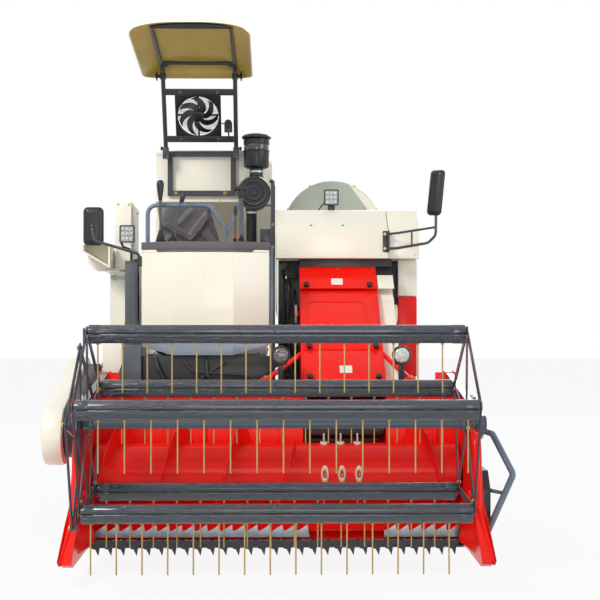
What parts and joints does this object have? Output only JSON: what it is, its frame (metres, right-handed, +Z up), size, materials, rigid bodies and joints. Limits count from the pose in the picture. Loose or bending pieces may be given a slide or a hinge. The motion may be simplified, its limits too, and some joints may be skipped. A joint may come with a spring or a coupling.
{
  "type": "tracked combine harvester",
  "caption": "Rubber-tracked rice combine with pick-up reel, knife, auger header, lifting feeder, threshing drum, grain tank, unloading tube and open operator station under a canopy.",
  "frame": {"origin": "on the ground under the middle of the whole machine's bounding box", "axes": "+X to the machine's left side, -Y to its front (the reel), +Z up"},
  "size_m": [2.4517, 4.9367, 3.0842],
  "materials": {
    "cream_paint": "gloss cream enamel",
    "red_paint": "gloss red enamel",
    "dark_paint": "satin black enamel",
    "grey_paint": "satin dark grey enamel",
    "blue_grey_paint": "satin blue-grey enamel",
    "bat_paint": "scuffed dark blue-grey enamel",
    "black_paint": "satin black enamel",
    "bright_steel": "ground steel",
    "chrome_rod": "hard chrome",
    "cast_housing": "painted casting",
    "cream_plastic": "moulded, slight gloss",
    "black_plastic": "moulded, fine grain",
    "grey_plastic": "moulded, fine grain",
    "track_rubber": "moulded rubber",
    "cloth": "woven cover"
  },
  "bodies": {
    "root": {"chassis_frame": "dark_paint", "track_left": "track_rubber", "track_right": "track_rubber", "track_frames": "red_paint", "track_wheels": "dark_paint", "gearbox": "cast_housing", "engine": "cast_housing", "operator_platform": "grey_paint", "console_shell": "cream_paint", "console_top": "grey_plastic", "console_controls": "bright_steel", "engine_hood": "grey_paint", "seat": "cloth", "radiator_screen_box": "cream_paint", "grain_tank": "cream_paint", "unloader_riser": "cream_paint", "canopy_frame": "black_paint", "canopy_roof": "cream_plastic", "air_cleaner": "black_plastic", "thresher_body": "cream_paint", "front_hood": "cream_paint", "feeder_top_plates": "red_paint", "straw_hood": "cream_paint", "mirrors": "black_plastic", "work_lamps": "black_plastic"},
    "header": {"header_trough": "red_paint", "header_sides": "red_paint", "feeder_house": "red_paint", "feeder_strip": "cream_paint", "header_braces": "red_paint", "cutter_bar": "black_paint", "header_drive_cover": "cream_plastic", "knife_drive_guard": "blue_grey_paint"},
    "auger": {"auger": "red_paint"},
    "knife": {"knife": "bright_steel"},
    "reel_arms": {"reel_arms": "blue_grey_paint"},
    "reel": {"reel_rotor": "blue_grey_paint"},
    "eccentric": {"eccentric_spider": "blue_grey_paint"},
    "lift_barrel": {"lift_cylinder_barrel": "black_paint"},
    "lift_rod": {"lift_cylinder_rod": "chrome_rod"},
    "reel_barrels": {"reel_cylinder_barrels": "black_paint"},
    "reel_rods": {"reel_cylinder_rods": "chrome_rod"},
    "fan": {"fan_rotor": "black_plastic"},
    "drum": {"threshing_drum": "dark_paint"},
    "thresher_cover": {"thresher_cover": "cream_paint"},
    "side_door": {"thresher_side_door": "cream_paint"},
    "radiator_door": {"radiator_screen_door": "cream_paint"},
    "tank_hatch": {"tank_hatch": "cream_paint"},
    "unloader": {"unloader_tube": "cream_paint"},
    "bat_1": {"reel_bat_1": "bat_paint"},
    "bat_2": {"reel_bat_2": "bat_paint"},
    "bat_3": {"reel_bat_3": "bat_paint"},
    "bat_4": {"reel_bat_4": "bat_paint"},
    "bat_5": {"reel_bat_5": "bat_paint"}
  },
  "joints": [
    {"name": "header_lift", "type": "hinge", "parent": "root", "child": "header", "pos_m": [0.385, -0.11, 1.34], "axis": [-1, 0, 0], "range_deg": [-1.2, 20]},
    {"name": "reel_lift", "type": "hinge", "parent": "header", "child": "reel_arms", "pos_m": [0, -0.89, 0.98], "axis": [-1, 0, 0], "range_deg": [0, 20]},
    {"name": "reel_spin", "type": "hinge", "parent": "reel_arms", "child": "reel", "pos_m": [0, -2, 0.81], "axis": [-1, 0, 0], "continuous": true},
    {"name": "eccentric_spin", "type": "hinge", "parent": "reel_arms", "child": "eccentric", "pos_m": [-0.947, -2, 0.73], "axis": [-1, 0, 0], "continuous": true},
    {"name": "bat_1_turn", "type": "hinge", "parent": "reel", "child": "bat_1", "pos_m": [0, -2.43467, 0.92647], "axis": [-1, 0, 0], "continuous": true},
    {"name": "bat_2_turn", "type": "hinge", "parent": "reel", "child": "bat_2", "pos_m": [0, -2.02355, 1.25938], "axis": [-1, 0, 0], "continuous": true},
    {"name": "bat_3_turn", "type": "hinge", "parent": "reel", "child": "bat_3", "pos_m": [0, -1.57989, 0.97127], "axis": [-1, 0, 0], "continuous": true},
    {"name": "bat_4_turn", "type": "hinge", "parent": "reel", "child": "bat_4", "pos_m": [0, -1.71681, 0.46028], "axis": [-1, 0, 0], "continuous": true},
    {"name": "bat_5_turn", "type": "hinge", "parent": "reel", "child": "bat_5", "pos_m": [0, -2.24509, 0.4326], "axis": [-1, 0, 0], "continuous": true},
    {"name": "auger_spin", "type": "hinge", "parent": "header", "child": "auger", "pos_m": [0, -1.17, 0.48], "axis": [-1, 0, 0], "continuous": true},
    {"name": "knife_stroke", "type": "slide", "parent": "header", "child": "knife", "axis": [1, 0, 0], "range_m": [-0.038, 0.038]},
    {"name": "fan_spin", "type": "hinge", "parent": "root", "child": "fan", "pos_m": [-0.524, 0.21, 2.65], "axis": [0, 0.8944, 0.4472], "continuous": true},
    {"name": "drum_spin", "type": "hinge", "parent": "root", "child": "drum", "pos_m": [0.38, 1.4, 1.927], "axis": [0, 1, 0], "continuous": true},
    {"name": "thresher_cover_hinge", "type": "hinge", "parent": "root", "child": "thresher_cover", "pos_m": [0.732, 1.4, 2.03], "axis": [0, 1, 0], "range_deg": [0, 75]},
    {"name": "side_door_hinge", "type": "hinge", "parent": "root", "child": "side_door", "pos_m": [0.921, 0.508, 1.17], "axis": [0, 0, -1], "range_deg": [0, 110]},
    {"name": "radiator_door_hinge", "type": "hinge", "parent": "root", "child": "radiator_door", "pos_m": [-1.066, 0.795, 1.27], "axis": [0, 0, -1], "range_deg": [0, 95]},
    {"name": "tank_hatch_hinge", "type": "hinge", "parent": "root", "child": "tank_hatch", "pos_m": [-0.288, 1.55, 2.46], "axis": [0, 1, 0], "range_deg": [0, 100]},
    {"name": "unloader_swing", "type": "hinge", "parent": "root", "child": "unloader", "pos_m": [-1.135, 2.06, 1.54], "axis": [0, 0, -1], "range_deg": [0, 120]},
    {"name": "lift_barrel_turn", "type": "hinge", "parent": "root", "child": "lift_barrel", "pos_m": [0.2, 0, 0.64], "axis": [-1, 0, 0], "range_deg": [-1, 10.39]},
    {"name": "lift_rod_slide", "type": "slide", "parent": "lift_barrel", "child": "lift_rod", "axis": [0, -0.9837, 0.1796], "range_m": [-0.01564, 0.22934]},
    {"name": "reel_barrel_turn", "type": "hinge", "parent": "header", "child": "reel_barrels", "pos_m": [0, -0.96, 0.805], "axis": [-1, 0, 0], "range_deg": [0, 20.87]},
    {"name": "reel_rod_slide", "type": "slide", "parent": "reel_barrels", "child": "reel_rods", "axis": [0, -0.9838, 0.1792], "range_m": [0, 0.06741]}
  ],
  "couplings": [
    {"joint": "bat_1_turn", "follows": "reel_spin", "ratio": -1},
    {"joint": "bat_2_turn", "follows": "reel_spin", "ratio": -1},
    {"joint": "bat_3_turn", "follows": "reel_spin", "ratio": -1},
    {"joint": "bat_4_turn", "follows": "reel_spin", "ratio": -1},
    {"joint": "bat_5_turn", "follows": "reel_spin", "ratio": -1},
    {"joint": "eccentric_spin", "follows": "reel_spin", "ratio": 1},
    {"joint": "lift_barrel_turn", "follows": "header_lift", "ratio": 0.49976},
    {"joint": "lift_rod_slide", "follows": "header_lift", "m_per_rad": 0.6513},
    {"joint": "reel_barrel_turn", "follows": "reel_lift", "ratio": 1.0235},
    {"joint": "reel_rod_slide", "follows": "reel_lift", "m_per_rad": 0.18739}
  ]
}
